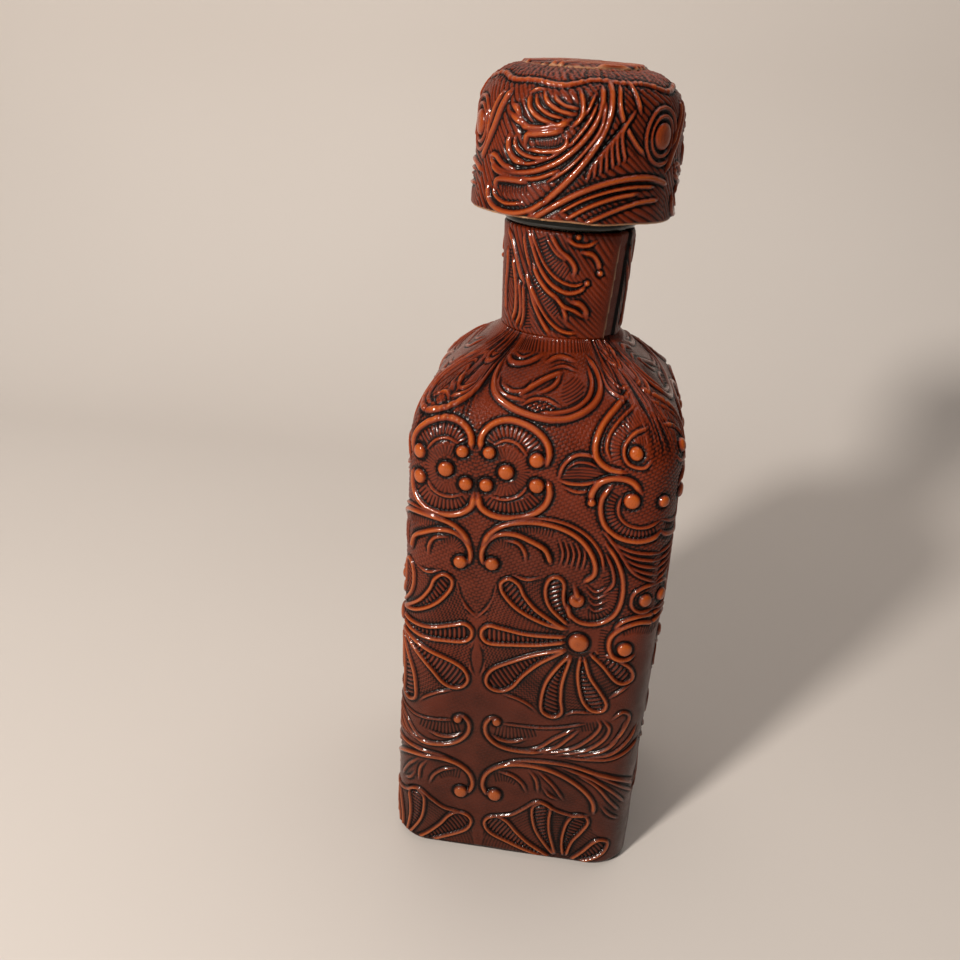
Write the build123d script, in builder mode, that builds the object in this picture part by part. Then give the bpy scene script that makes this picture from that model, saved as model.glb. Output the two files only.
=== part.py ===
"""Square glass decanter covered in embossed leather, with a leather-covered cork stopper.

+Z is up, the front face looks along -Y, and the origin is the middle of the base, on the surface
that the decanter stands on. All sizes are in millimetres.
"""

import os

from build123d import *

# Body: a square bottle with rounded vertical corners, measured over its leather
BODY_WIDTH = 84.0
BODY_CORNER = 13.6
BASE_EDGE = 2.4  # rounding of the leather's bottom edge
BODY_TOP = 150.7  # height where the sides start to turn in
SHOULDER_TOP = 185.1  # height where the shoulder meets the neck

# Shoulder curve: the body's extra width over the neck falls as (1 - share ** FULLNESS) ** FLARE
SHOULDER_FULLNESS = 2.6
SHOULDER_FLARE = 1.5
SHOULDER_SECTIONS = 9
GLASS_SECTIONS = 6  # the glass turns in by straight steps, which the leather hides
GLASS_REACH = 0.86  # share of the shoulder's height where the glass meets its own neck

# Neck, measured over its leather, which stops below the glass lip
NECK_RADIUS = 18.9
NECK_TOP_RADIUS = 20.0
NECK_LEATHER_TOP = 216.7
LIP_RADIUS = 20.2
LIP_TOP = 221.5
LIP_EDGE = 1.4  # rounding of the lip's two rims
BORE_RADIUS = 12.5

# Sheets and walls
LEATHER = 2.0
NECK_LEATHER = 1.8
BASE_LEATHER = 1.6
GLASS_WALL = 4.0
GLASS_BASE = 6.0

# Stopper head, measured over its leather
HEAD_BOTTOM = 220.7
HEAD_TOP = 260.0
HEAD_BOTTOM_RADIUS = 30.7
HEAD_TOP_RADIUS = 29.9
HEAD_EDGE = 12.5  # rounding between the head's side and its top
SIDE_MARGIN = 3.4  # how far the side leather is turned over onto the flat top
TOP_DISC_RISE = 1.6  # how far the middle of the top leather stands above the margin
TOP_DISC_EDGE = 0.9  # the same at the disc's own edge
REST_GAP = 0.2  # between the head's lining and the lip
LINING = 1.2  # leather ring under the head

# Cork
CORK_CLEARANCE = 0.05
CORK_SEAT = 2.0  # length of the cork's cylinder below the lip's top
CORK_LENGTH = 24.0  # below the lining
CORK_TIP_RADIUS = 11.4
CORK_CHAMFER = 1.0
SPIGOT_RADIUS = 7.0  # spigot of the wooden core, inside the cork
SPIGOT_LENGTH = 16.0

os.makedirs("parts", exist_ok=True)


def shoulder_section(share, inset):
    """Half width, corner radius and height of the shoulder at a share of its height.

    The section is moved inwards by inset, square to the shoulder's curve.
    """
    extra_width = BODY_WIDTH / 2 - NECK_RADIUS
    rise = SHOULDER_TOP - BODY_TOP
    body_share = (1 - share**SHOULDER_FULLNESS) ** SHOULDER_FLARE
    steepness = SHOULDER_FULLNESS * SHOULDER_FLARE * extra_width / rise
    slope = share ** (SHOULDER_FULLNESS - 1) * (1 - share**SHOULDER_FULLNESS) ** (SHOULDER_FLARE - 1)
    outward = Vector(1, steepness * slope).normalized()
    half = NECK_RADIUS + extra_width * body_share - inset * outward.X
    height = BODY_TOP + rise * share - inset * outward.Y
    corner = NECK_RADIUS + (BODY_CORNER - NECK_RADIUS) * body_share - inset
    return half, min(corner, half - 0.2), height


def bottle_shape(inset, floor, sections=SHOULDER_SECTIONS, reach=1.0, stepped=False):
    """The square body with its shoulder as one closed solid, moved inwards by inset.

    The shoulder goes up to the share of its height that reach gives, smoothly or by straight steps.
    """
    half = BODY_WIDTH / 2 - inset
    with BuildPart() as shape:
        with BuildSketch(Plane.XY.offset(floor)):
            RectangleRounded(2 * half, 2 * half, BODY_CORNER - inset)
        extrude(amount=BODY_TOP - floor)
        for step in range(sections):
            section_half, corner, height = shoulder_section(reach * step / (sections - 1), inset)
            with BuildSketch(Plane.XY.offset(height)):
                RectangleRounded(2 * section_half, 2 * section_half, corner)
        loft(ruled=stepped)
    return shape.part


# Glass bottle ---------------------------------------------------------------------------------
glass_half = BODY_WIDTH / 2 - LEATHER
glass_corner = BODY_CORNER - LEATHER
neck_glass_radius = NECK_RADIUS - NECK_LEATHER
neck_glass_top_radius = NECK_TOP_RADIUS - NECK_LEATHER
inside_inset = LEATHER + GLASS_WALL
glass_outside = bottle_shape(LEATHER, BASE_LEATHER, GLASS_SECTIONS, GLASS_REACH, stepped=True)
glass_inside = bottle_shape(inside_inset, BASE_LEATHER + GLASS_BASE, GLASS_SECTIONS, GLASS_REACH, stepped=True)

with BuildPart() as glass_bottle:
    add(glass_outside)
    with BuildSketch(Plane.XZ):
        with BuildLine():
            Polyline(
                (0, BODY_TOP),
                (neck_glass_radius, BODY_TOP),
                (neck_glass_radius, SHOULDER_TOP),
                (neck_glass_top_radius, NECK_LEATHER_TOP),
                (LIP_RADIUS, NECK_LEATHER_TOP),
                (LIP_RADIUS, LIP_TOP),
                (0, LIP_TOP),
                close=True,
            )
        make_face()
    revolve(axis=Axis.Z)
    rims = glass_bottle.edges().filter_by(GeomType.CIRCLE)
    fillet(rims.filter_by(lambda rim: abs(rim.radius - LIP_RADIUS) < 0.01), LIP_EDGE)
    add(glass_inside, mode=Mode.SUBTRACT)
    with BuildSketch(Plane.XY.offset(LIP_TOP)):
        Circle(BORE_RADIUS)
    extrude(amount=BODY_TOP - LIP_TOP, mode=Mode.SUBTRACT)

# Leather of the body, one moulded piece from the base to the neck --------------------------------
with BuildPart() as body_leather:
    add(bottle_shape(0, 0))
    fillet(body_leather.faces().sort_by(Axis.Z)[0].edges(), BASE_EDGE)
    add(glass_outside, mode=Mode.SUBTRACT)
    with BuildSketch():
        RectangleRounded(2 * glass_half, 2 * glass_half, glass_corner)
    extrude(amount=BASE_LEATHER, mode=Mode.SUBTRACT)
    with BuildSketch(Plane.XY.offset(BODY_TOP)):
        Circle(NECK_RADIUS)
    extrude(amount=SHOULDER_TOP - BODY_TOP, mode=Mode.SUBTRACT)

# Leather pad under the base ----------------------------------------------------------------------
with BuildPart() as base_leather:
    with BuildSketch():
        RectangleRounded(2 * glass_half, 2 * glass_half, glass_corner)
    extrude(amount=BASE_LEATHER)

# Leather sleeve of the neck ----------------------------------------------------------------------
with BuildPart() as neck_leather:
    with BuildSketch(Plane.XZ):
        with BuildLine():
            Polyline(
                (neck_glass_radius, SHOULDER_TOP - NECK_LEATHER),
                (NECK_RADIUS, SHOULDER_TOP - NECK_LEATHER),
                (NECK_RADIUS, SHOULDER_TOP),
                (NECK_TOP_RADIUS, NECK_LEATHER_TOP),
                (neck_glass_top_radius, NECK_LEATHER_TOP),
                (neck_glass_radius, SHOULDER_TOP),
                close=True,
            )
        make_face()
    revolve(axis=Axis.Z)
    add(glass_bottle.part, mode=Mode.SUBTRACT)

# Wooden core of the stopper head, with its spigot ------------------------------------------------
lining_bottom = LIP_TOP + REST_GAP
core_bottom = lining_bottom + LINING
core_top = HEAD_TOP - LEATHER
core_bottom_radius = HEAD_BOTTOM_RADIUS - LEATHER
core_top_radius = HEAD_TOP_RADIUS - LEATHER
core_edge = HEAD_EDGE - LEATHER
flat_radius = HEAD_TOP_RADIUS - HEAD_EDGE  # radius of the flat top, inside its rounded edge
margin_radius = flat_radius - SIDE_MARGIN

with BuildPart() as cap_core:
    with BuildSketch(Plane.XZ):
        with BuildLine():
            Polyline(
                (flat_radius, core_top),
                (0, core_top),
                (0, core_bottom - SPIGOT_LENGTH),
                (SPIGOT_RADIUS, core_bottom - SPIGOT_LENGTH),
                (SPIGOT_RADIUS, core_bottom),
                (core_bottom_radius, core_bottom),
                (core_top_radius, core_top - core_edge),
            )
            RadiusArc((core_top_radius, core_top - core_edge), (flat_radius, core_top), -core_edge)
        make_face()
    revolve(axis=Axis.Z)

# Side leather of the head, turned over onto its top -----------------------------------------------
with BuildPart() as cap_side_leather:
    with BuildSketch(Plane.XZ):
        with BuildLine():
            RadiusArc((core_top_radius, core_top - core_edge), (flat_radius, core_top), -core_edge)
            Polyline(
                (flat_radius, core_top),
                (margin_radius, core_top),
                (margin_radius, HEAD_TOP),
                (flat_radius, HEAD_TOP),
            )
            RadiusArc((flat_radius, HEAD_TOP), (HEAD_TOP_RADIUS, HEAD_TOP - HEAD_EDGE), HEAD_EDGE)
            Polyline(
                (HEAD_TOP_RADIUS, HEAD_TOP - HEAD_EDGE),
                (HEAD_BOTTOM_RADIUS, HEAD_BOTTOM),
                (core_bottom_radius, HEAD_BOTTOM),
                (core_bottom_radius, core_bottom),
                (core_top_radius, core_top - core_edge),
            )
        make_face()
    revolve(axis=Axis.Z)

# Top leather of the head: fills the hole in the margin and laps over it ----------------------------
with BuildPart() as cap_top_leather:
    with BuildSketch(Plane.XZ):
        with BuildLine():
            crown = TangentArc(
                (0, HEAD_TOP + TOP_DISC_RISE),
                (flat_radius, HEAD_TOP + TOP_DISC_EDGE),
                tangent=(1, 0),
            )
            Polyline(
                crown @ 1,
                (flat_radius, HEAD_TOP),
                (margin_radius, HEAD_TOP),
                (margin_radius, core_top),
                (0, core_top),
                crown @ 0,
            )
        make_face()
    revolve(axis=Axis.Z)

# Leather ring that lines the underside of the head -------------------------------------------------
cork_radius = BORE_RADIUS - CORK_CLEARANCE
with BuildPart() as cap_lining:
    with BuildSketch(Plane.XY.offset(lining_bottom)):
        Circle(core_bottom_radius)
        Circle(cork_radius, mode=Mode.SUBTRACT)
    extrude(amount=LINING)

# Cork, with a socket for the core's spigot ---------------------------------------------------------
cork_tip = lining_bottom - CORK_LENGTH
with BuildPart() as cork:
    with BuildSketch(Plane.XZ):
        with BuildLine():
            Polyline(
                (SPIGOT_RADIUS, core_bottom),
                (cork_radius, core_bottom),
                (cork_radius, LIP_TOP - CORK_SEAT),
                (CORK_TIP_RADIUS, cork_tip + CORK_CHAMFER),
                (CORK_TIP_RADIUS - CORK_CHAMFER, cork_tip),
                (0, cork_tip),
                (0, core_bottom - SPIGOT_LENGTH),
                (SPIGOT_RADIUS, core_bottom - SPIGOT_LENGTH),
                close=True,
            )
        make_face()
    revolve(axis=Axis.Z)

pieces = {
    "glass_bottle": glass_bottle,
    "body_leather": body_leather,
    "base_leather": base_leather,
    "neck_leather": neck_leather,
    "cap_core": cap_core,
    "cap_side_leather": cap_side_leather,
    "cap_top_leather": cap_top_leather,
    "cap_lining": cap_lining,
    "cork": cork,
}
for name, piece in pieces.items():
    piece.part.label = name
    export_step(piece.part, f"parts/{name}.step")
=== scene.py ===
"""Looks of the leather-covered decanter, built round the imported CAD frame.

The embossed pattern is drawn once as a raster of heights, in millimetres on flat leather, and the
leather skins are fine grids whose points stand out by those heights.
"""

import functools
import math

import bpy
import numpy as np
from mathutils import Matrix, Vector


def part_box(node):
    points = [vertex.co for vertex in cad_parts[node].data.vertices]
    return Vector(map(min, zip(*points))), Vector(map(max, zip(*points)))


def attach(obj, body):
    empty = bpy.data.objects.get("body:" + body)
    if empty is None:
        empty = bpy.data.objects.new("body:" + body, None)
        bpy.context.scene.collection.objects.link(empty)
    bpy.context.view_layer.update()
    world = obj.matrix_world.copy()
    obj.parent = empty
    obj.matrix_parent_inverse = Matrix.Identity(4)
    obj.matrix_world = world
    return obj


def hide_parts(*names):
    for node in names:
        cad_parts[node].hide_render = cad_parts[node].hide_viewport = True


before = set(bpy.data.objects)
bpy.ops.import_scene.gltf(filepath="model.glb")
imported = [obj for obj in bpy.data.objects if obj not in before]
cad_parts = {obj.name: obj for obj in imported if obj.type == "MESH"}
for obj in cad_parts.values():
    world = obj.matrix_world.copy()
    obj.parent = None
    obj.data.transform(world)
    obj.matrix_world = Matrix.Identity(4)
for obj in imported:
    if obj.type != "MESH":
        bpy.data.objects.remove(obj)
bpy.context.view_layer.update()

MM = 0.001


# Sizes, in millimetres ---------------------------------------------------------------------------
def top_of(node):
    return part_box(node)[1].z / MM


def bottom_of(node):
    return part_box(node)[0].z / MM


def radius_of(node):
    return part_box(node)[1].x / MM


HALF_WIDTH = radius_of("body_leather")
SHOULDER_TOP = top_of("body_leather")
BODY_CORNER = 13.6
BODY_TOP = 150.7  # height where the sides start to turn in
SHOULDER_FULLNESS = 2.6
SHOULDER_FLARE = 1.5
LEATHER = 2.0
BASE_EDGE = 2.4
GLASS_GAP = 0.05  # between the leather's inner face and what it covers

NECK_RADIUS = 18.9
NECK_TOP_RADIUS = radius_of("neck_leather")
NECK_BOTTOM = bottom_of("neck_leather")
NECK_TOP = top_of("neck_leather")
NECK_LEATHER = 1.8

HEAD_BOTTOM = bottom_of("cap_side_leather")
HEAD_TOP = top_of("cap_side_leather")
HEAD_BOTTOM_RADIUS = radius_of("cap_side_leather")
HEAD_TOP_RADIUS = HEAD_BOTTOM_RADIUS - 0.8
HEAD_EDGE = 12.5
TURNED_OVER = 3.0  # how far the side leather runs in on the flat top
FLAT_RADIUS = HEAD_TOP_RADIUS - HEAD_EDGE
DISC_RISE = top_of("cap_top_leather") - HEAD_TOP

CELL = 0.34  # spacing of the points of the body's skin
FINE_CELL = 0.32  # the same on the neck and the stopper

RANDOM = np.random.RandomState(7)
LATTICE_SIZE = 32
LATTICE = RANDOM.rand(LATTICE_SIZE, LATTICE_SIZE, LATTICE_SIZE)


# Noise and curves --------------------------------------------------------------------------------
def smooth_step(value, low, high):
    share = np.clip((value - low) / (high - low), 0, 1)
    return share * share * (3 - 2 * share)


def lumps(points, cell):
    """Smooth noise from -1 to 1 at points of shape (..., 3), with lumps about cell across."""
    place = points / cell
    corner = np.floor(place).astype(int)
    part = place - corner
    part = part * part * (3 - 2 * part)
    total = 0
    for dx in (0, 1):
        for dy in (0, 1):
            for dz in (0, 1):
                share = np.abs(1 - dx - part[..., 0]) * np.abs(1 - dy - part[..., 1])
                share = share * np.abs(1 - dz - part[..., 2])
                x, y, z = np.moveaxis((corner + (dx, dy, dz)) % LATTICE_SIZE, -1, 0)
                total = total + share * LATTICE[x, y, z]
    return 2 * total - 1


def smooth_curve(points, step=0.5):
    """A Catmull-Rom curve through the points, as close points about step apart."""
    points = np.array(points, float)
    if len(points) == 2:
        count = max(2, int(np.hypot(*(points[1] - points[0])) / step) + 1)
        return points[0] + np.linspace(0, 1, count)[:, None] * (points[1] - points[0])
    ends = np.vstack([2 * points[0] - points[1], points, 2 * points[-1] - points[-2]])
    pieces = []
    for a, b, c, d in zip(ends, ends[1:], ends[2:], ends[3:]):
        count = max(2, int(np.hypot(*(c - b)) / step))
        t = np.linspace(0, 1, count, endpoint=False)[:, None]
        square = (2 * a - 5 * b + 4 * c - d) * t**2
        cube = (3 * b - 3 * c + d - a) * t**3
        pieces.append(0.5 * (2 * b + (c - a) * t + square + cube))
    return np.vstack(pieces + [points[-1:]])


class Emboss:
    """A stamped pattern: a raster of heights in millimetres over a rectangle of flat leather."""

    STEP = 0.14
    BREADTH = 1.3  # how much broader the stamp presses a cord than its drawn width

    def __init__(self, left, right, bottom, top):
        self.left, self.bottom = left, bottom
        self.xs = np.arange(left, right + self.STEP, self.STEP)
        self.ys = np.arange(bottom, top + self.STEP, self.STEP)
        self.height = np.zeros((len(self.ys), len(self.xs)))

    def window(self, points, reach):
        """Row and column slices of the raster within reach of the points."""
        (x0, y0), (x1, y1) = points.min(0) - reach, points.max(0) + reach
        cols = slice(*np.searchsorted(self.xs, (x0, x1)))
        rows = slice(*np.searchsorted(self.ys, (y0, y1)))
        return rows, cols

    def trace(self, points, reach):
        """Distance to a curve, distance along it to the nearest point, its length, and the window."""
        line = smooth_curve(points)
        rows, cols = self.window(line, reach)
        shape = (len(self.ys[rows]), len(self.xs[cols]))
        away, along = np.full(shape, 1e6), np.zeros(shape)
        run = 0.0
        for start, end in zip(line, line[1:]):
            near_rows, near_cols = self.window(np.array([start, end]), reach)
            r = slice(near_rows.start - rows.start, near_rows.stop - rows.start)
            c = slice(near_cols.start - cols.start, near_cols.stop - cols.start)
            dx, dy = end - start
            length = math.hypot(dx, dy)
            if length == 0 or r.stop <= r.start or c.stop <= c.start:
                continue
            px = self.xs[near_cols][None, :] - start[0]
            py = self.ys[near_rows][:, None] - start[1]
            share = np.clip((px * dx + py * dy) / length**2, 0, 1)
            gap = np.hypot(px - share * dx, py - share * dy)
            closer = gap < away[r, c]
            away[r, c] = np.where(closer, gap, away[r, c])
            along[r, c] = np.where(closer, run + share * length, along[r, c])
            run += length
        return away, along, run, (rows, cols)

    def strand(self, points, width=1.2, height=0.75, taper=(3.0, 3.0)):
        """A raised cord with a rounded top and a groove on both sides, thinner towards its ends."""
        half_width = width / 2 * self.BREADTH
        away, along, length, window = self.trace(points, half_width + 1.6)
        part = np.minimum((along + 0.3) / taper[0], (length - along + 0.3) / taper[1])
        half = half_width * np.sqrt(np.clip(part, 0.12, 1))
        crown = 0.9 * height * np.clip(part, 0.4, 1) * np.clip(1 - (away / half) ** 2, 0, 1) ** 0.7
        groove = 0.50 * np.exp(-(((away - half) / 0.5) ** 2)) * np.clip(part, 0, 1)
        old = self.height[window]
        self.height[window] = np.where(away < half, np.maximum(old * 0.3, 0) + crown, old - groove)

    def ribs(self, points, half_width=1.6, pitch=1.2, depth=0.75):
        """A sunk band with ribs across it, as of a shell or a rope."""
        away, along, length, window = self.trace(points, half_width + 0.6)
        inside = smooth_step(-away, -half_width - 0.25, -half_width + 0.15)
        inside = inside * smooth_step(along, 0.0, 0.4) * smooth_step(length - along, 0.0, 0.4)
        rib = np.abs(np.sin(math.pi * along / pitch)) ** 0.9
        old = self.height[window]
        self.height[window] = old * (1 - inside) + inside * depth * (rib - 0.92)

    def bead(self, x, y, radius, height=1.25):
        """A round boss with a flattened top, in a sunk ring."""
        rows, cols = self.window(np.array([[x, y]]), radius + 1.6)
        gap = np.hypot(self.xs[cols][None, :] - x, self.ys[rows][:, None] - y)
        dome = height * np.clip(1 - (gap / radius) ** 3, 0, 1) ** 0.6
        ring = 0.6 * np.exp(-(((gap - radius) / 0.55) ** 2))
        old = self.height[rows, cols]
        self.height[rows, cols] = np.where(gap < radius, dome, old - ring)

    def inside(self, corners):
        """Share of each raster point inside a closed outline: 1 or 0."""
        x, y = self.xs[None, :], self.ys[:, None]
        crossings = np.zeros(self.height.shape, int)
        for (x0, y0), (x1, y1) in zip(corners, corners[1:] + corners[:1]):
            if y0 != y1:
                between = (y > min(y0, y1)) & (y <= max(y0, y1))
                crossings += between & (x < x0 + (y - y0) / (y1 - y0) * (x1 - x0))
        return crossings % 2

    def rings(self, corners, x, y, pitch=1.15, depth=0.5, scales=0.0):
        """Ribs on circles about a point, inside an outline. scales breaks them up into short arcs."""
        mask = self.inside(corners)
        across, up = self.xs[None, :] - x, self.ys[:, None] - y
        away = np.hypot(across, up)
        around = np.arctan2(up, across) * away.mean()
        shift = scales * np.sin(math.pi * around / 1.3)
        rib = np.abs(np.sin(math.pi * away / pitch + shift)) ** 0.9
        self.height = self.height * (1 - mask) + mask * depth * (rib - 0.9)

    def hatch(self, mask, depth=0.3, length=1.9, pitch=1.15):
        """A ground of short slanting cuts, laid like bricks."""
        x, y = self.xs[None, :], self.ys[:, None]
        row = (y - 0.42 * x) / pitch
        column = (x + 0.25 * y) / length + 0.5 * np.floor(row)
        across = np.abs(np.sin(math.pi * row))
        along = np.abs(np.sin(math.pi * column))
        self.height += mask * depth * (np.minimum(across * 1.3, 1) * np.minimum(along * 1.8, 1) - 0.8)

    def flow(self, x, y, pitch, depth, repeat):
        """A ground of long fine ridges that curve about far points, repeat apart."""
        across = (self.xs[None, :] + repeat / 2) % repeat - repeat / 2 - x
        away = np.hypot(across, self.ys[:, None] - y)
        waver = 0.8 * np.sin(self.ys[:, None] / 5.1 + self.xs[None, :] / 3.7)
        self.height += depth * (np.abs(np.sin(math.pi * (away + waver) / pitch)) ** 0.8 - 0.75)

    def blurred(self, sigma):
        """The heights, blurred over sigma millimetres."""
        pad = int(4 * sigma / self.STEP) + 2
        field = np.pad(self.height, pad, mode="edge")
        fy = np.fft.fftfreq(field.shape[0], self.STEP)[:, None]
        fx = np.fft.rfftfreq(field.shape[1], self.STEP)[None, :]
        keep = np.exp(-2 * (math.pi * sigma) ** 2 * (fx**2 + fy**2))
        soft = np.fft.irfft2(np.fft.rfft2(field) * keep, s=field.shape)
        return soft[pad:-pad, pad:-pad]

    def finish(self):
        """Softens the stamping, as leather does, and keeps how far each point stands out locally."""
        self.height = self.blurred(0.13)
        self.stand_out = self.height - self.blurred(1.3)

    def read(self, field, x, y):
        """The values of a field of this raster at points of the leather."""
        col = np.clip((x - self.left) / self.STEP, 0, len(self.xs) - 1.001)
        row = np.clip((y - self.bottom) / self.STEP, 0, len(self.ys) - 1.001)
        c, r = col.astype(int), row.astype(int)
        fc, fr = col - c, row - r
        low = field[r, c] * (1 - fc) + field[r, c + 1] * fc
        high = field[r + 1, c] * (1 - fc) + field[r + 1, c + 1] * fc
        return low * (1 - fr) + high * fr


# The pattern of the body: one half unit, mirrored at both its sides ---------------------------------
UNIT_LEFT, UNIT_RIGHT = 1.2, 58.0
PATTERN_SHIFT = 17.0  # where the middle of the front lies in the drawn unit
PATTERN_TILT = 0.061  # the print leans a little on the leather, about PATTERN_PIVOT up it
PATTERN_PIVOT = 90.0


def draw_ground(sheet):
    """Woven ground: strong in the top rows and under the heart, nearly smooth below."""
    y = sheet.ys[:, None] + 0 * sheet.xs[None, :]
    strength = 0.22 + 0.78 * smooth_step(y, 94, 100)
    sheet.hatch(strength * (1 - 0.45 * smooth_step(y, 166, 172)))


def draw_medallions(sheet):
    """Row of horseshoes, one above the other, round a middle bead."""
    sheet.ribs([(13.6, 144.2), (16, 149.3), (13.6, 154.4)], 1.5, 0.95, 0.35)
    sheet.ribs([(6.4, 153.8), (10.5, 155.2), (14, 153.6)], 1.4, 0.95, 0.35)
    sheet.ribs([(6.4, 143.6), (10.5, 142.6), (14, 144.4)], 1.4, 0.95, 0.35)
    sheet.ribs([(3.9, 157), (6.2, 160.2), (10.8, 161.7), (15.6, 160.3), (19.2, 156.6)], 2.0, 1.3, 0.6)
    sheet.ribs([(3.4, 139.4), (6.8, 137.3), (11.4, 136.9), (16.4, 138.3), (20.2, 141.6)], 2.0, 1.3, 0.6)
    sheet.strand([(6.4, 157.2), (10, 158.9), (13.8, 157.8), (16.8, 154.2)], 0.7, 0.5)
    sheet.strand([(5.6, 140.6), (10, 139.9), (14.4, 141.6), (17.2, 145.4)], 0.7, 0.5)
    sheet.strand([(2.7, 155.6), (2.9, 160), (6, 163.6), (11, 165), (17, 163.2), (21.5, 159.6),
                  (23, 155.6), (21.9, 151.8)], 1.7, 0.9, (2, 1))
    sheet.strand([(1.9, 141), (2.6, 137.2), (6, 134.7), (11, 133.9), (17, 135), (21.6, 138.2),
                  (23.4, 142.2), (22.9, 146.2)], 1.7, 0.9, (2, 1))
    for x, y, radius in (
        (5.2, 154.9, 2.0), (19.4, 153.3, 2.4), (10.3, 149.0, 2.5), (4.3, 144.4, 2.2), (19.5, 145.1, 2.4)
    ):
        sheet.bead(x, y, radius)


def draw_bud(sheet):
    """Hatched bud between the medallions and the big scrolls."""
    bud = [(26, 148), (28, 153), (33, 154.8), (38, 152.4), (42, 149.2), (36, 146.2), (29, 145.6)]
    sheet.rings(bud, 33, 120, 1.0, 0.4)
    sheet.strand([(26, 147.8), (27.2, 152), (30.4, 155.2), (34.6, 155.6), (38.6, 153.6)], 1.0, 0.6)
    sheet.strand([(28, 151), (31.2, 153.2), (35.2, 153), (38.6, 151.2)], 0.6, 0.4)
    sheet.strand([(25.8, 147.4), (29.4, 146.4), (34.4, 146.6), (39.4, 148.4), (44, 149.6)], 0.9, 0.7)
    sheet.strand([(27.4, 145.2), (31.4, 143.8), (35.6, 144.4)], 0.8, 0.5)


def draw_big_scrolls(sheet):
    """Two ribbed C scrolls with beads, one above the other, and the lines that leave the lower one."""
    sheet.ribs([(52, 168.2), (46.8, 165.6), (43.2, 161.6), (42, 157.6), (43.2, 154.2)], 1.6, 1.15, 0.5)
    sheet.ribs([(52.6, 160.6), (48.6, 160.4), (46.4, 157.6)], 1.1, 0.9, 0.4)
    sheet.strand([(52, 175), (44.6, 171.6), (39, 166), (36.4, 159.6), (37, 154.8), (40.4, 151.8),
                  (45.6, 150.8)], 1.6, 0.9, (4, 2))
    sheet.strand([(52, 171.4), (45.4, 168), (41, 163.2), (39.6, 158.4), (40.8, 154.6)], 0.8, 0.5)
    sheet.strand([(54, 164.4), (48.6, 163), (45.4, 159.8), (44.8, 156.2), (46.6, 153.4), (50.6, 152.8),
                  (53.4, 155.2)], 0.9, 0.6)
    sheet.bead(48.4, 157.0, 2.2)
    sheet.ribs([(43.4, 144.8), (41.6, 141), (41.7, 137.2), (43.6, 133.8), (47.2, 131.5), (52, 131),
                (57, 132.4)], 1.9, 1.2, 0.6)
    sheet.strand([(45.2, 144), (43.9, 139.8), (44.6, 136.4), (47.4, 133.9), (52.2, 133.3), (57.4, 135.2)],
                 0.8, 0.5)
    sheet.strand([(41.6, 146.6), (39, 142), (38.9, 137), (40.6, 132.8), (44.6, 129.7), (50.2, 128.7),
                  (55.4, 129.7), (58, 131.4)], 1.4, 0.8)
    sheet.strand([(36, 140.4), (36, 143.8), (38.4, 147.4), (43, 149), (47.6, 148), (50.6, 144.4)],
                 1.7, 0.9, (1, 3))
    sheet.bead(36.0, 140.6, 1.3, 0.9)
    sheet.bead(47.8, 142.0, 2.6)
    sheet.bead(58.0, 141.6, 2.0)
    for drop in range(5):
        start = (39.6 + 1.6 * drop, 131.6 - 2.3 * drop)
        middle = (45.6 + 1.2 * drop, 126.2 - 2.2 * drop)
        sheet.strand([start, middle, (58.0, 123.6 - 2.6 * drop)], 0.9, 0.5)


def draw_arches(sheet):
    """Row of acanthus arches over the shell, curling round beads."""
    sheet.ribs([(5.2, 122.6), (8, 125.4), (12.4, 125.2)], 1.5, 0.9, 0.45)
    sheet.ribs([(13, 130.2), (19, 130.9), (25.4, 129.6)], 1.5, 1.0, 0.5)
    for bend in range(5):
        x = 26.6 + 1.7 * bend
        sheet.strand([(x, 128.2 - 0.5 * bend), (x + 1.4, 123.0), (x + 0.6, 118.4 - 0.3 * bend)], 0.7, 0.35)
    sheet.strand([(10.4, 126.2), (14, 125.7), (16.2, 122.8), (16.8, 119)], 1.0, 0.6)
    sheet.strand([(20.2, 125.8), (22.6, 123.6), (24.4, 119)], 1.3, 0.7, (2, 1.5))
    sheet.strand([(4.2, 116.4), (2.9, 120.6), (4.4, 125.2), (8, 128.1), (13, 128.5), (18, 126.6),
                  (22.6, 123.8), (24.5, 119.2)], 1.4, 0.85, (2, 1.5))
    sheet.strand([(11, 132.6), (20, 134.3), (28.4, 133.2), (35.2, 129.4), (39.4, 123.8), (40.8, 117.6)],
                 0.9, 0.6)
    sheet.strand([(2.9, 124), (5.4, 128.2), (9.4, 131.2), (14.6, 132.6), (21, 132.8), (28, 131.2),
                  (33.8, 127.4), (37.4, 121.6), (37.9, 116.6), (34.9, 113.4)], 1.4, 0.85, (3, 1.5))
    sheet.bead(6.2, 117.8, 2.3)


def draw_big_curl(sheet):
    """The big curl right of the arches, which ends in a bead above the shell."""
    sheet.ribs([(41.6, 117), (43.8, 111.6), (43.4, 106.2), (40.2, 102.4), (35.6, 101.6)], 2.0, 1.05, 0.5)
    for bend in range(4):
        sheet.strand([(35.4 + 0.4 * bend, 112.6 - 2.5 * bend), (38.6, 110.2 - 2.3 * bend),
                      (42.8, 113.0 - 2.6 * bend)], 0.6, 0.35)
    sheet.strand([(40.8, 127.4), (44.4, 122), (46.6, 115.4), (46.7, 108.4), (44.6, 102.4), (40, 99),
                  (34.6, 98.8), (31, 101.4), (30.2, 105.4)], 1.3, 0.8, (4, 1.5))
    sheet.strand([(41, 123.6), (43.2, 118.8), (43.8, 113.6), (41, 110)], 0.9, 0.5)
    sheet.bead(32.8, 106.8, 2.6)
    sheet.strand([(31.8, 112.2), (32.4, 110), (33.2, 108)], 1.6, 0.8, (3, 0.5))
    sheet.strand([(58, 112.4), (54, 112.6), (50.4, 110.4), (49.8, 106.4), (52.4, 103.6), (58, 103.4)],
                 1.0, 0.6)
    sheet.bead(54.4, 107.6, 2.3)


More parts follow.
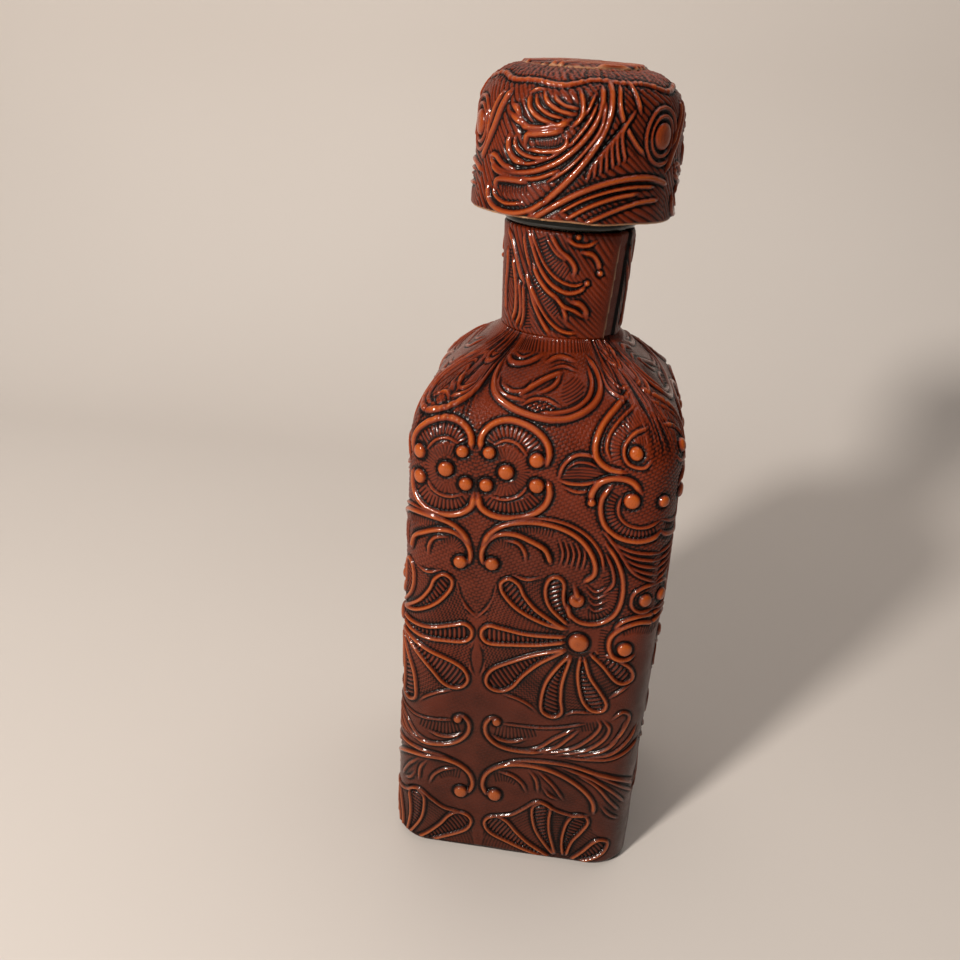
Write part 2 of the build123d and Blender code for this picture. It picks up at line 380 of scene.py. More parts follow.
def draw_heart(sheet):
    """Half of the woven heart between two shells, and half of the lens under it."""
    sheet.strand([(7.6, 110.4), (6.8, 105.6), (4.6, 101.4), (1.2, 97.6)], 0.7, 0.45)
    sheet.strand([(2.4, 88.4), (3.9, 84), (3.7, 79), (2.2, 75)], 0.7, 0.45)


def draw_shell(sheet, x, y, scale=1.0, turned=False):
    """A fan of ribbed petals round a bead at (x, y). Petals are given from that bead."""
    flip = -1.0 if turned else 1.0

    def place(points):
        return [(x + scale * px, y + flip * scale * py) for px, py in points]

    ground = [(-3.6, 4.4), (-10.6, 23), (-17, 22), (-25, 21.6), (-31, 4), (-31, -4),
              (-30, -15), (-26, -21), (-13, -26), (-8, -30), (2, -27), (9, -26),
              (12, -19), (18, -13), (17, -8), (4.4, -3.4)]
    sheet.rings(place(ground), x, y, 1.25 * scale, 0.6, scales=0.9)
    petals = [
        [(-3.6, 6), (-9.2, 11.6), (-11, 17), (-10.2, 21.6), (-7.8, 23.2), (-5.4, 21.2), (-5.2, 15),
         (-3, 8)],
        [(-4.2, 4.2), (-12, 6.2), (-19.6, 10.4), (-24.2, 15.6), (-25, 19.4), (-22.4, 21.4), (-19.4, 19.4),
         (-17.6, 15.4), (-13.6, 10.4), (-7.6, 6.2), (-3.8, 4.4)],
        [(-4.4, 1.4), (-16, 1.2), (-25, 2.8), (-28.6, 3.6), (-31, 1.8), (-31, -1.2), (-28.4, -3.2),
         (-22, -3.2), (-14, -2.6), (-4.4, -0.6)],
        [(-4.2, -3.2), (-13, -6), (-22, -10), (-27.8, -13.4), (-29.8, -17.4), (-28.4, -20.4),
         (-25, -21.4), (-21.2, -19.6), (-17.4, -14.6), (-12, -9.2), (-4, -3.6)],
        [(-2.8, -5.2), (-6.6, -10.4), (-10, -16.6), (-11.4, -23.4), (-11, -28.2), (-7.6, -30),
         (-4.6, -28), (-5, -22.4), (-4.6, -15.4), (-2.2, -5.6)],
        [(0.8, -5.4), (0.2, -11.4), (0.8, -17.4), (2.4, -22.8), (5.4, -26), (9, -25.4), (9.8, -22.4),
         (7.4, -17.8), (4, -12.4), (2, -5.4)],
        [(3.8, -3.8), (8, -8), (12, -13), (15, -14.4), (18, -12.6), (16.6, -8.4), (12, -5.2),
         (5.4, -2.8)],
    ]
    for outline in petals:
        sheet.rings(place(outline), x, y, 1.55 * scale, 0.85)
    for outline in petals:
        sheet.strand(place(outline), 1.1 * scale, 0.75, (1.5, 1.5))
    sheet.bead(x, y, 3.4 * scale)


def draw_shell_edge(sheet):
    """Scalloped border of the shell, and the small scroll at its right."""
    sheet.strand([(9.6, 68.9), (14.6, 67.4), (18.6, 65.2), (21, 62.8)], 0.8, 0.5)
    sheet.strand([(30.6, 62.6), (34, 64.3), (39.6, 64.4)], 0.8, 0.5)
    sheet.strand([(44.6, 71), (47.8, 73.8), (51.2, 76)], 0.9, 0.6)
    sheet.strand([(12.6, 114.2), (17, 112.9), (21.2, 113.9)], 0.8, 0.6)
    sheet.ribs([(41.9, 97.6), (41.4, 91), (42, 85.4)], 1.2, 1.1, 0.5)
    sheet.ribs([(47, 96.4), (52, 97.2), (58, 95.4)], 1.3, 1.0, 0.5)
    sheet.strand([(58, 101.6), (52.4, 102), (47.4, 100.2), (44.8, 96.6)], 1.2, 0.8, (1, 2))
    sheet.strand([(58, 98.4), (52.6, 99.6), (47.6, 98), (44.2, 94.6), (43.6, 90.6), (45.2, 87.2),
                  (49, 86.2), (52, 87.6)], 1.3, 0.8, (1, 2))
    sheet.bead(48.6, 90.2, 2.5)


def draw_low_scrolls(sheet):
    """Row of flat scrolls under the shell, with blades that sweep up to the right."""
    sheet.ribs([(6.4, 54), (11, 53.2), (16, 53.6), (21.6, 55.2)], 2.4, 1.2, 0.5)
    sheet.ribs([(35.4, 58), (41.2, 59.4)], 1.7, 1.0, 0.45)
    for blade in (
        [(16, 46.6), (22, 48), (27.2, 52.4), (33.6, 57)],
        [(20, 46), (27.4, 48.6), (32, 53.2), (35.4, 56.8)],
        [(24, 45.9), (33.2, 49), (39.4, 54.2), (42.4, 59.2), (41.2, 62.2)],
        [(28, 45.7), (37.4, 48.6), (43.2, 53.4), (45.4, 58.6), (43.2, 62)],
        [(32, 45.5), (42.2, 48.6), (48.2, 54), (51.4, 62.2)],
        [(36, 45.2), (46.4, 48.2), (53, 53.2), (56, 58)],
        [(30, 44.8), (44, 45.8), (52, 48), (58, 51.4)],
        [(46, 52.4), (50.2, 57.4), (52.2, 62.8), (49.4, 65.2), (46, 62.4)],
    ):
        sheet.strand(blade, 0.95, 0.6, (5, 3))
    sheet.strand([(9.4, 56.6), (15.2, 56.2), (22.4, 56.3), (30, 57.5), (37.4, 59.8)], 0.7, 0.4)
    sheet.strand([(6, 51.8), (9.2, 50), (13.2, 49.6), (18, 51.2)], 1.0, 0.6)
    sheet.strand([(8.6, 58.8), (5.6, 58.2), (4, 55.6), (4.4, 51.8), (7.4, 48.3), (12, 46.4), (18, 46),
                  (25, 46.6)], 1.3, 0.8, (1.5, 5))
    sheet.bead(7.8, 57.2, 1.6, 0.9)


def draw_low_arches(sheet):
    """Row of long arches near the base, curling round beads."""
    sheet.ribs([(6.4, 33.4), (11, 34), (15.4, 32.4)], 1.9, 1.05, 0.45)
    for blade in (
        [(19, 38.2), (21.6, 34.2), (22.4, 28.6)],
        [(22, 38.2), (27, 33), (31.2, 26.6)],
        [(23.8, 31.6), (26, 28.2), (29.2, 26.4)],
        [(34, 39.4), (42, 34.2), (47.2, 27.2), (51.2, 21.8)],
        [(30, 40.8), (40, 37.4), (47.4, 31.8), (53.4, 24.6)],
        [(36, 41.2), (46, 36.6), (54.4, 30), (58, 26.6)],
        [(42, 40.4), (50.4, 36.8), (58, 32)],
        [(44, 25.6), (47.2, 21.2), (51.2, 18)],
    ):
        sheet.strand(blade, 1.0, 0.6, (4, 2.5))
    sheet.strand([(8.8, 36.2), (13.2, 35.1), (16.6, 32.2), (18.4, 28.2)], 1.0, 0.6)
    sheet.strand([(8.4, 38.6), (14.2, 41.3), (22.4, 42.4), (32.4, 41.9), (42.4, 39.4), (50.4, 36),
                  (58, 30.4)], 1.1, 0.7, (3, 3))
    sheet.strand([(5.2, 24.9), (3, 29.2), (3.9, 34.2), (7.2, 37.7), (12.4, 39.8), (19, 40.3), (26.6, 38.9),
                  (33.4, 35.4), (38.6, 31), (41.4, 26.4), (41.7, 21.8)], 1.4, 0.85, (1.5, 2))
    sheet.bead(7.2, 26.0, 2.5)


def draw_shoulder_scrolls(sheet):
    """Large loops on the shoulder with a woven lens in them, and short waves and ribs by the neck."""
    lens = [(14.4, 169.6), (17.4, 167.6), (22, 167.4), (25.4, 169.2), (21.6, 171.4), (17, 171.4)]
    sheet.hatch(sheet.inside(lens), 0.5)
    fold = [(26.2, 178.4), (25.4, 172.4), (28.4, 169.4), (32.2, 172.6), (32.6, 177.6), (30, 180.4)]
    sheet.rings(fold, 20.0, 186.0, 1.1)
    sheet.strand([(14.2, 169.6), (17.4, 171.7), (21.4, 171.7), (25.6, 169.4)], 0.9, 0.6)
    sheet.strand([(5, 180.4), (5.9, 175.8), (9.4, 172.6), (15, 171.2)], 1.0, 0.6)
    sheet.strand([(7, 176.6), (11, 174.2), (15.4, 175), (17.4, 178.6)], 1.0, 0.5)
    sheet.strand([(13.6, 173.2), (17.2, 176.2), (21, 179), (25.2, 181.2)], 1.5, 0.8, (4, 0.8))
    sheet.strand([(18.6, 173.8), (22, 175.4), (24, 177.6), (25.2, 181)], 1.1, 0.6)
    sheet.strand([(34.2, 183.6), (35.2, 178.4), (33.8, 173.2), (30, 169.4), (24.6, 167.6), (19, 167.4)],
                 1.3, 0.7)
    sheet.strand([(2.8, 185), (3.4, 178.6), (5.8, 173), (11, 169), (17, 166.6), (23.4, 165.6),
                  (29.6, 166.8), (35.2, 170.8), (38.2, 176.4), (37.6, 182.6), (34.4, 187)], 1.8, 0.9)
    sheet.strand([(40, 183), (41, 177.4), (44.6, 174.2), (50, 172.8)], 1.1, 0.6)
    sheet.strand([(42, 184), (44, 179.4), (48, 176.6), (54, 176.2)], 0.9, 0.5)
    sheet.ribs([(2, 190.6), (20, 190.2), (40, 190.6)], 1.9, 1.25, 0.5)
    sheet.strand([(4.4, 186.4), (9, 184), (14.6, 184.4), (19.6, 187.4)], 1.5, 0.6)
    sheet.strand([(8, 187.4), (12.4, 186), (16.4, 187.6)], 0.8, 0.4)
    sheet.strand([(20.4, 184.4), (24.6, 186.8), (30, 185.4)], 1.3, 0.6)
    sheet.strand([(21.6, 182), (26, 183.6), (30.8, 181.8)], 0.8, 0.4)
    sheet.strand([(46, 190), (50.4, 184.6), (58, 181.4)], 1.1, 0.6)
    sheet.strand([(50, 190), (53.6, 187), (58, 185.4)], 0.9, 0.5)


def body_pattern():
    sheet = Emboss(0.0, 59.0, -8.0, 200.0)
    draw_ground(sheet)
    draw_heart(sheet)
    draw_shell(sheet, 34.0, 91.4)
    draw_shell(sheet, 31.0, -3.6, 0.92, turned=True)
    sheet.strand([(7, 16.2), (13.2, 17.7), (18, 21.3), (21.6, 24.4), (24.4, 24.2), (29, 21.2),
                  (35, 19.8), (40.2, 20.6)], 1.0, 0.6)
    draw_shell_edge(sheet)
    draw_medallions(sheet)
    draw_bud(sheet)
    draw_big_scrolls(sheet)
    draw_arches(sheet)
    draw_big_curl(sheet)
    draw_low_scrolls(sheet)
    draw_low_arches(sheet)
    draw_shoulder_scrolls(sheet)
    sheet.finish()
    return sheet


# The patterns of the neck and of the stopper: x along the leather from the middle of the front ------
NECK_PRINT_RADIUS = 19.45  # the same for the neck
NECK_REPEAT = 2 * math.pi * NECK_PRINT_RADIUS / 3
STOPPER_PRINT_RADIUS = 30.0  # radius at which the stopper's pattern has its drawn size
STOPPER_REPEAT = 2 * math.pi * STOPPER_PRINT_RADIUS / 3
FLOW_REPEAT = 62.8  # the stopper's repeat, rounded


def shifted(shift, points):
    return [(x + shift, y) for x, y in points]


def neck_pattern():
    sheet = Emboss(-62.0, 62.0, NECK_BOTTOM - 2, NECK_TOP + 2)
    sheet.flow(60.0, 250.0, 1.45, 0.36, NECK_REPEAT)
    for shift in (0.0, -NECK_REPEAT, NECK_REPEAT):
        place = functools.partial(shifted, shift)
        sheet.ribs(place([(-7.6, 214.8), (-5.4, 210.6), (-2.4, 206.8), (2.2, 204)]), 1.7, 1.0, 0.5)
        sheet.ribs(place([(-8.6, 205), (-6.8, 200), (-3.6, 195.6), (0.4, 192)]), 1.4, 1.0, 0.5)
        sheet.ribs(place([(-13.6, 203.4), (-12.4, 198.4), (-11.2, 192.6), (-9.8, 186.4)]), 1.2, 0.95, 0.5)
        sheet.ribs(place([(-20, 209.4), (-19, 204.6), (-18.6, 199.4)]), 1.4, 1.0, 0.5)
        for line, width in (
            ([(-11.6, 215.6), (-9.4, 210.4), (-6.8, 205.2), (-3.2, 201.2), (1.4, 199), (5.4, 199.6),
              (7.6, 201.8)], 1.1),
            ([(-10.6, 215.8), (-8.2, 211), (-5.2, 206.2), (-1, 202.6), (3.6, 201.2), (7, 202.2)], 0.7),
            ([(-4.6, 215.6), (-1.6, 211.4), (1.6, 209), (3.4, 206.6), (3.4, 204)], 1.2),
            ([(-5.6, 214.6), (-2.6, 210.6), (0.6, 208.4)], 0.7),
            ([(4.8, 211.2), (8.2, 210.4), (10.2, 208.2), (11, 205.4)], 1.2),
            ([(0.4, 214.8), (3, 213.2), (6.4, 213), (9.2, 214.4)], 1.0),
            ([(-9.4, 206.4), (-7.4, 202.8), (-4.4, 199.4), (-0.8, 196.8), (1.4, 193.6), (2.4, 190.4)], 1.2),
            ([(-1.6, 197.4), (1.4, 194.8), (4.6, 193.6), (8.6, 191.4)], 1.0),
            ([(3.4, 196.4), (6.2, 195.6), (8, 193.8), (8.8, 191.4)], 1.5),
            ([(-11.6, 203.4), (-9.6, 198.4), (-7.6, 193.6), (-5, 189.4), (-2.2, 185.8)], 1.2),
            ([(-10, 200.4), (-6.4, 194.4), (-2.8, 190), (1.4, 187.2), (6, 186.6)], 0.9),
            ([(-14.6, 200.6), (-13.4, 195.4), (-13.2, 190.4), (-15, 186.2)], 1.1),
            ([(-12.6, 200), (-12, 195), (-11.8, 190), (-13, 185.6)], 0.8),
            ([(-21.6, 214.6), (-18.8, 212), (-16.2, 207.4), (-14, 202.8), (-12, 200)], 1.2),
            ([(-18, 206.8), (-16.4, 202), (-15.4, 197), (-15.4, 191.4), (-17, 187.2)], 1.1),
            ([(-21.4, 209.4), (-20.8, 203.4), (-21.4, 196.4), (-21, 189.4)], 1.0),
            ([(-13.4, 214.6), (-12, 209.4), (-10, 204.6)], 0.8),
        ):
            sheet.strand(place(line), width, 0.7, (2, 2))
        for x, y in place([(7.6, 202), (3.6, 215.4), (11.2, 205)]):
            sheet.bead(x, y, 0.9, 0.8)
    sheet.finish()
    return sheet


def stopper_pattern():
    sheet = Emboss(-98.0, 98.0, -3.0, 54.0)
    y = sheet.ys[:, None] + 0 * sheet.xs[None, :]
    sheet.flow(74.0, 92.0, 1.55, 0.42, FLOW_REPEAT)
    sheet.hatch(smooth_step(y, 32, 37), 0.3)
    edge = [(x, 37.0 + 1.1 * math.sin(x / 7.0) + 0.6 * math.sin(x / 2.9)) for x in range(-96, 97, 4)]
    sheet.strand(edge, 1.3, 0.6)
    for shift in (0.0, -STOPPER_REPEAT, STOPPER_REPEAT):
        place = functools.partial(shifted, shift)
        sheet.ribs(place([(-9.8, 20), (-6.6, 20.9), (-3.2, 20.6)]), 1.3, 0.8, 0.5)
        sheet.ribs(place([(-21, 7.2), (-16.4, 7.6), (-11.6, 8)]), 1.3, 0.9, 0.45)
        sheet.ribs(place([(-9.6, 9.4), (-4.6, 11.6), (-0.4, 15), (3, 19)]), 0.9, 0.8, 0.45)
        sheet.ribs(place([(-6, 1), (0, 4.4), (7, 7.2), (13, 8.4)]), 0.9, 0.8, 0.45)
        sheet.ribs(place([(-14, 1), (-9.6, 2.6), (-5.4, 5.2)]), 0.9, 0.8, 0.4)
        for line, width in (
            ([(9.6, 38.4), (9.8, 33), (9, 27.4), (6.6, 21.4), (2.8, 15.4), (-1.6, 10), (-6.4, 5),
              (-11, 0.2)], 1.5),
            ([(7.2, 36.4), (7, 30.4), (4.8, 24.8), (0.6, 19.4), (-4.4, 15.4), (-10.4, 12.8), (-17, 11.8),
              (-23.4, 12.6), (-26.8, 15.4)], 1.3),
            ([(5.6, 31), (3.6, 26.4), (-0.4, 20.8), (-5.6, 17), (-11.6, 14.8), (-17.6, 14.6)], 0.8),
            ([(5, 33.6), (3, 29), (0, 25.4)], 0.8),
            ([(8.2, 31.6), (7, 25), (3.6, 19.4), (-0.8, 14.4), (-6, 10.6)], 0.8),
            ([(-13.6, 32.4), (-12.8, 29), (-9.8, 26.6), (-5.6, 25.4), (-1.4, 25.4)], 1.1),
            ([(-11.8, 32.6), (-10.4, 29.6), (-7, 27.6), (-2.4, 26.8)], 0.8),
            ([(-9.6, 33.4), (-7.8, 30.6), (-4.4, 28.8), (0.2, 28)], 1.0),
            ([(-6.6, 33.2), (-5.4, 31.4), (-2.6, 30), (1, 29.6)], 0.8),
            ([(-14, 32.6), (-11.6, 33.8), (-9.4, 34)], 0.8),
            ([(0.6, 34.6), (1.8, 31), (1.6, 27.6), (-0.6, 25)], 1.1),
            ([(-19, 29.4), (-16.8, 28.2), (-15.8, 26), (-13.2, 24), (-9, 23.8), (-4.4, 24.8),
              (-1.4, 26.8)], 1.6),
            ([(-19.2, 27.4), (-16.6, 25.6), (-14.2, 24.6)], 1.4),
            ([(-13.4, 19.4), (-13, 22), (-10.6, 22.4), (-6.6, 23), (-3, 24)], 1.3),
            ([(-19, 21.6), (-18.8, 18), (-16.6, 15.6), (-13, 14.8)], 1.5),
            ([(-16.8, 21.6), (-16.4, 19), (-14.2, 17.2), (-10.4, 16.4), (-6, 17)], 0.9),
            ([(-1.8, 22.6), (-1.8, 20.4), (-4, 18.8), (-8, 18.2), (-12, 18.4)], 1.0),
            ([(-26.8, 15.4), (-24, 15.6), (-20.4, 13.6), (-16, 12.8)], 1.2),
            ([(-26, 13), (-22, 11.2), (-16, 10.6), (-9, 11.2), (-3, 13.8)], 1.0),
            ([(-22.8, 6.4), (-22.6, 9.2), (-18, 9.8), (-12, 9.8)], 1.3),
            ([(-26.4, 8), (-25.6, 3.6), (-22, 1.4), (-16, 1), (-10.6, 2.4), (-6, 5.6)], 1.3),
            ([(-23.8, 7.6), (-22.8, 5), (-18.8, 3.4), (-13, 4)], 0.8),
            ([(-9.4, 0.2), (-2.6, 5), (4, 8.8), (11, 11.4), (18, 12.6), (25, 12.4), (32, 10.6)], 1.4),
            ([(0, 1), (6, 4.8), (13, 7.4), (20, 8.6)], 1.0),
            ([(5, 0.4), (12, 3.6), (20, 6), (28, 6.6)], 1.0),
            ([(-2, 2.6), (4, 6.4), (11, 9), (18, 10.2), (26, 10.2)], 0.8),
            ([(-20.6, 33.4), (-23, 28.4), (-26, 22.6), (-29.6, 17.6), (-32, 14)], 1.7),
            ([(-23.6, 33), (-26.6, 27), (-30, 20.4)], 1.0),
            ([(12.6, 37), (12, 31), (13.6, 26.4), (17.4, 21.6), (21, 18.6)], 1.1),
            ([(15.8, 38.6), (17.2, 34), (18.4, 29)], 1.1),
        ):
            sheet.strand(place(line), width, 0.75, (2, 2))
        for rib in range(7):
            low = (4.6 + 1.7 * rib, 11.6 + 0.9 * rib)
            high = (9.0 + 1.3 * rib, 20.4 + 1.6 * rib)
            bow = (6.0 + 1.2 * rib, 15.8 + 1.4 * rib)
            sheet.strand(place([low, bow, high]), 0.9, 0.5, (1.5, 2.5))
        for ring in (5.2, 7.4):
            loop = [(27.6 + 0.9 * ring * math.cos(a), 23.4 + ring * math.sin(a))
                    for a in np.linspace(0, 2 * math.pi, 13)]
            sheet.strand(place(loop), 0.9, 0.5, (0.3, 0.3))
        (x, y), = place([(27.6, 23.4)])
        sheet.bead(x, y, 3.7, 1.0)
    sheet.finish()
    return sheet


# Meshes --------------------------------------------------------------------------------------------
def tube_mesh(name, rows, values, closed=True):
    """A mesh of rows of points, each row a closed ring. rows is (rows, columns, 3) in millimetres.

    closed joins the last row to the first. values are point attributes of shape (rows, columns).
    """
    count, around = rows.shape[:2]
    mesh = bpy.data.meshes.new(name)
    index = np.arange(count * around).reshape(count, around)
    right = np.roll(index, -1, axis=1)
    last = count if closed else count - 1
    up, up_right = np.roll(index, -1, axis=0), np.roll(right, -1, axis=0)
    faces = np.stack([index, right, up_right, up], -1)[:last].reshape(-1, 4)
    mesh.vertices.add(count * around)
    mesh.vertices.foreach_set("co", (rows.reshape(-1) * MM).astype(np.float32))
    mesh.loops.add(faces.size)
    mesh.loops.foreach_set("vertex_index", faces.reshape(-1).astype(np.int32))
    mesh.polygons.add(len(faces))
    mesh.polygons.foreach_set("loop_start", np.arange(0, faces.size, 4, dtype=np.int32))
    mesh.polygons.foreach_set("loop_total", np.full(len(faces), 4, np.int32))
    mesh.polygons.foreach_set("use_smooth", np.ones(len(faces), bool))
    for key, value in values.items():
        layer = mesh.attributes.new(key, "FLOAT", "POINT")
        flat = np.broadcast_to(value, (count, around)).reshape(-1)
        layer.data.foreach_set("value", flat.astype(np.float32))
    mesh.update()
    mesh.validate()
    piece = bpy.data.objects.new(name, mesh)
    bpy.context.scene.collection.objects.link(piece)
    return piece


def outward(rows):
    """Unit normals of a grid of points whose rows are closed rings."""
    along = np.roll(rows, -1, axis=1) - np.roll(rows, 1, axis=1)
    up = np.gradient(rows, axis=0)
    normal = np.cross(along, up)
    return normal / np.maximum(np.linalg.norm(normal, axis=-1, keepdims=True), 1e-9)


def shoulder_outline(share):
    """Half width, corner radius and height of the body at a share of the shoulder's height."""
    left = (1 - share**SHOULDER_FULLNESS) ** SHOULDER_FLARE
    half = NECK_RADIUS + (HALF_WIDTH - NECK_RADIUS) * left
    corner = NECK_RADIUS + (BODY_CORNER - NECK_RADIUS) * left
    return half, np.minimum(corner, half - 0.2), BODY_TOP + (SHOULDER_TOP - BODY_TOP) * share


def square_ring(half, corner, u):
    """Points of a rounded square at leather distances u from the front's middle, and the leather there.

    half and corner are (rows, 1). On the shoulder the square is smaller than the leather, which is
    gathered towards the corners.
    """
    full = (HALF_WIDTH - BODY_CORNER) + BODY_CORNER * math.pi / 4
    side = np.round(u / (2 * full))
    turn = u / full - 2 * side
    reach = (half - corner) + corner * math.pi / 4
    across = np.abs(turn) * reach
    bend = np.clip((across - (half - corner)) / corner, 0, math.pi / 4)
    x = np.minimum(across, half - corner) + corner * np.sin(bend)
    y = -(half - corner) - corner * np.cos(bend)
    x = x * np.sign(turn)
    angle = side * math.pi / 2
    leather = 2 * full * side + np.sign(turn) * (across + (full - reach) * np.abs(turn) ** 4)
    return x * np.cos(angle) - y * np.sin(angle), x * np.sin(angle) + y * np.cos(angle), leather, turn


def square_loop(half, corner, height, u):
    """One level ring of points round a rounded square."""
    x, y, _, _ = square_ring(np.array([[half]]), np.array([[corner]]), u)
    return np.stack([x, y, np.full(x.shape, height)], -1)[0]


def fold_into_unit(x):
    """Folds a leather distance into the drawn half unit, mirrored again and again."""
    width = UNIT_RIGHT - UNIT_LEFT
    return UNIT_LEFT + np.abs((x - UNIT_LEFT + width) % (2 * width) - width)


def body_skin(sheet):
    """The leather of the body and shoulder, with its lapped seam in the middle of the back."""
    full = (HALF_WIDTH - BODY_CORNER) + BODY_CORNER * math.pi / 4
    columns = int(8 * full / CELL)
    u = (np.arange(columns) / columns - 0.5)[None, :] * 8 * full
    shares = np.linspace(0, 1, 4001)
    halves, corners, heights = shoulder_outline(shares)
    run = np.concatenate([[0], np.cumsum(np.hypot(np.diff(halves), np.diff(heights)))])
    wall = np.arange(BASE_EDGE, BODY_TOP, CELL)
    dome = np.arange(0, run[-1], CELL)
    v = np.concatenate([wall, BODY_TOP + dome])[:, None]
    over = np.clip(v - BODY_TOP, 0, run[-1])
    share = np.interp(over, run, shares)
    half, corner, height = shoulder_outline(share)
    height = np.where(v < BODY_TOP, v, height)
    x, y, leather, turn = square_ring(half, corner, u)
    rows = np.stack([x, y, np.broadcast_to(height, x.shape)], -1)

    wave = 8 * full / (2 * math.pi)
    px = leather + PATTERN_SHIFT + PATTERN_TILT * (v - PATTERN_PIVOT)
    py = v - PATTERN_TILT * wave * np.sin((leather + PATTERN_SHIFT) / wave)
    unit_x = fold_into_unit(px)
    flat = 1 - 0.3 * smooth_step(share, 0.2, 0.7)
    relief = sheet.read(sheet.height, unit_x, py) * flat
    stand_out = sheet.read(sheet.stand_out, unit_x, py) * flat

    pleats = smooth_step(share, 0.10, 0.55) * smooth_step(np.abs(turn), 0.5, 0.95)
    up_fold = (v - BODY_TOP) / 9.0 + 0 * leather
    along_fold = np.stack([leather + 0 * v, up_fold, 0.4 * lumps(rows, 11.0)], -1)
    fold = 1 - 2.2 * np.abs(lumps(along_fold, 1.5)) + 0.7 * lumps(along_fold, 3.7)
    pleat = 0.42 * pleats * (fold - 0.4)
    away_from_seam = (u - u[0, 0]) % (8 * full)
    lap = 1.1 * np.clip(1 - away_from_seam / 14.0, 0, 1) * (0.4 + 0.6 * (away_from_seam > CELL))
    sag = 0.35 * lumps(rows, 21.0) + 0.12 * lumps(rows, 6.0)
    outside = rows + outward(rows) * (relief + pleat + lap + sag)[..., None]

    under = []
    for angle in np.linspace(0, math.pi / 2, 7)[:-1]:
        inset = BASE_EDGE * (1 - math.sin(angle))
        ring = square_loop(HALF_WIDTH - inset, BODY_CORNER - inset, 0.0, u)
        waver = 0.25 * (1 + lumps(ring, 7.0))
        ring[..., 2] = (BASE_EDGE + waver) * (1 - math.cos(angle))
        under.append(ring)
    inner = []
    gap = LEATHER - GLASS_GAP
    for level in (0.5, 40.0, 80.0, 120.0, BODY_TOP):
        inner.append(square_loop(HALF_WIDTH - gap, BODY_CORNER - gap, level, u))
    for level in np.linspace(0, 1, 9)[1:]:
        half_in, corner_in, height_in = shoulder_outline(level)
        thin = gap * (1 - 0.4 * level)
        half_in = max(half_in - thin, NECK_RADIUS - NECK_LEATHER + GLASS_GAP)
        corner_in = min(corner_in - thin, half_in - 0.1)
        inner.append(square_loop(half_in, corner_in, height_in - thin * (0.5 + 0.5 * level), u))
    under, inner = np.array(under), np.array(inner)
    rows = np.concatenate([under, outside, inner[::-1]])

    def spread(field, hidden=0.0):
        field = np.broadcast_to(field, (len(v), columns))
        low, high = (np.full((len(part), columns), hidden) for part in (under, inner))
        return np.concatenate([low, field, high])

    raw = np.where(away_from_seam < 1.5 * CELL, 1.0, 0.0) * np.ones((len(v), 1))
    values = {
        "relief": spread(relief + 0.5 * pleat),
        "stand_out": spread(stand_out + 0.8 * pleat, -0.2),
        "raw_edge": spread(raw),
    }
    return tube_mesh("body_skin", rows, values)


def neck_skin(sheet):
    """The leather sleeve of the neck. Its ends lap at the front right."""
    around = 2 * math.pi * (NECK_RADIUS + NECK_TOP_RADIUS) / 2
    columns = int(around / FINE_CELL)
    u = (np.arange(columns) / columns - 0.5)[None, :] * around
    v = np.arange(NECK_BOTTOM + 1.0, NECK_TOP, FINE_CELL)[:, None]
    share = np.clip((v - SHOULDER_TOP) / (NECK_TOP - SHOULDER_TOP), 0, 1)
    radius = NECK_RADIUS + (NECK_TOP_RADIUS - NECK_RADIUS) * share
    angle = 2 * math.pi * u / around
    seam = 15.4 + 2.0 * share  # the lap's cut edge leans to the right as it goes up
    past = u - seam
    relief = sheet.read(sheet.height, u + 0 * v, v + 0 * u)
    stand_out = sheet.read(sheet.stand_out, u + 0 * v, v + 0 * u)
    plain = smooth_step(past, -5.0, -1.0) * smooth_step(-past, -5.4, -4.8)
    relief, stand_out = relief * (1 - plain), stand_out * (1 - plain)
    lap = 1.0 * smooth_step(past, -9.0, -1.0) * (past < 0)
    second = 0.7 * smooth_step(past, 4.6, 5.2) * smooth_step(-past, -14.0, -5.0)
    top_edge = -0.7 * smooth_step(v, NECK_TOP - 0.9, NECK_TOP)
    low_edge = -0.8 * smooth_step(-v, -NECK_BOTTOM - 2.0, -NECK_BOTTOM - 1.0)
    rows = np.stack([radius * np.sin(angle), -radius * np.cos(angle), v + 0 * angle], -1)
    sag = 0.12 * lumps(rows, 8.0)
    lift = relief * 0.85 + lap + second + top_edge + low_edge + sag
    outside = rows + outward(rows) * lift[..., None]
    inside_radius = radius[::12] - NECK_LEATHER + GLASS_GAP
    inside = np.stack([
        inside_radius * np.sin(angle), -inside_radius * np.cos(angle), v[::12] + 0 * angle
    ], -1)
    rows = np.concatenate([outside, inside[::-1]])
    raw = np.exp(-(((past - 0.1) / 0.55) ** 2)) * smooth_step(-v, -NECK_TOP + 3.0, -NECK_TOP + 4.5)

    def spread(field, rest):
        return np.concatenate([field + 0 * u + 0 * v, np.full((len(inside), columns), rest)])

    gap = 0.6 * np.exp(-(((past - 4.9) / 0.5) ** 2))
    values = {
        "relief": spread(relief, 0.0),
        "stand_out": spread(stand_out - gap, -0.2),
        "raw_edge": spread(raw, 0.0),
    }
    return tube_mesh("neck_skin", rows, values)


